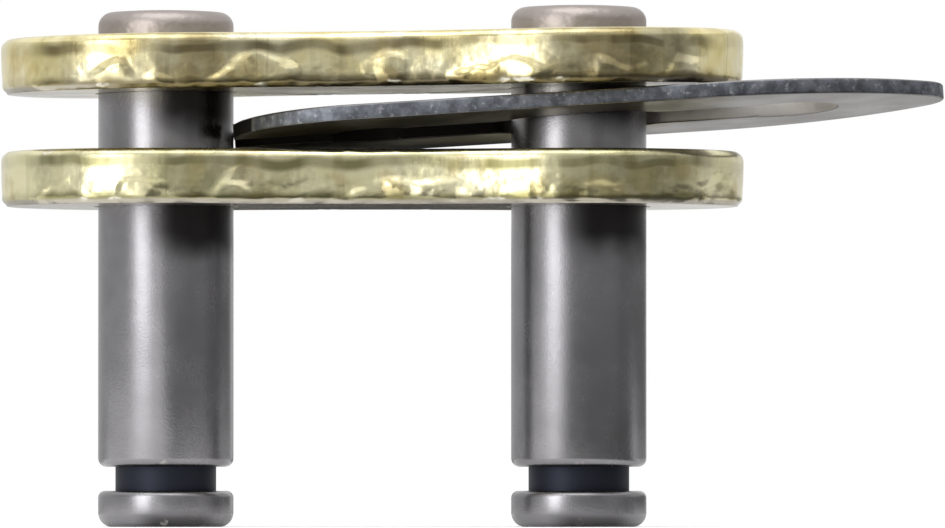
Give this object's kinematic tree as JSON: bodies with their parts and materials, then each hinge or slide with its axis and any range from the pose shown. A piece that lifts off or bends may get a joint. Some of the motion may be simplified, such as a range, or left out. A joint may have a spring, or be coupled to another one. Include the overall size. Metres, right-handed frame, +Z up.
{
  "type": "roller chain connecting link",
  "caption": "Connecting link for a roller chain: waisted plates on grooved pins, with a loose plate and an open-ended spring clip between the plates.",
  "frame": {"origin": "midway between the axes of the two pins, level with their free ends", "axes": "+Z up along the pins to their riveted ends, +X from the left pin to the right pin"},
  "size_m": [0.0363, 0.0126, 0.0201],
  "materials": {
    "gold_plate": "tumbled steel, gold plated",
    "pin_steel": "ground and burnished, case hardened",
    "clip_steel": "blued spring steel, sheared edges"
  },
  "bodies": {
    "link": {"fixed_plate": "gold_plate", "left_pin": "pin_steel", "right_pin": "pin_steel"},
    "loose": {"loose_plate": "gold_plate", "spring_clip": "clip_steel"}
  },
  "joints": [
    {"name": "plate_slide", "type": "slide", "parent": "link", "child": "loose", "axis": [0, 0, -1], "range_m": [0, 0.0123]}
  ]
}
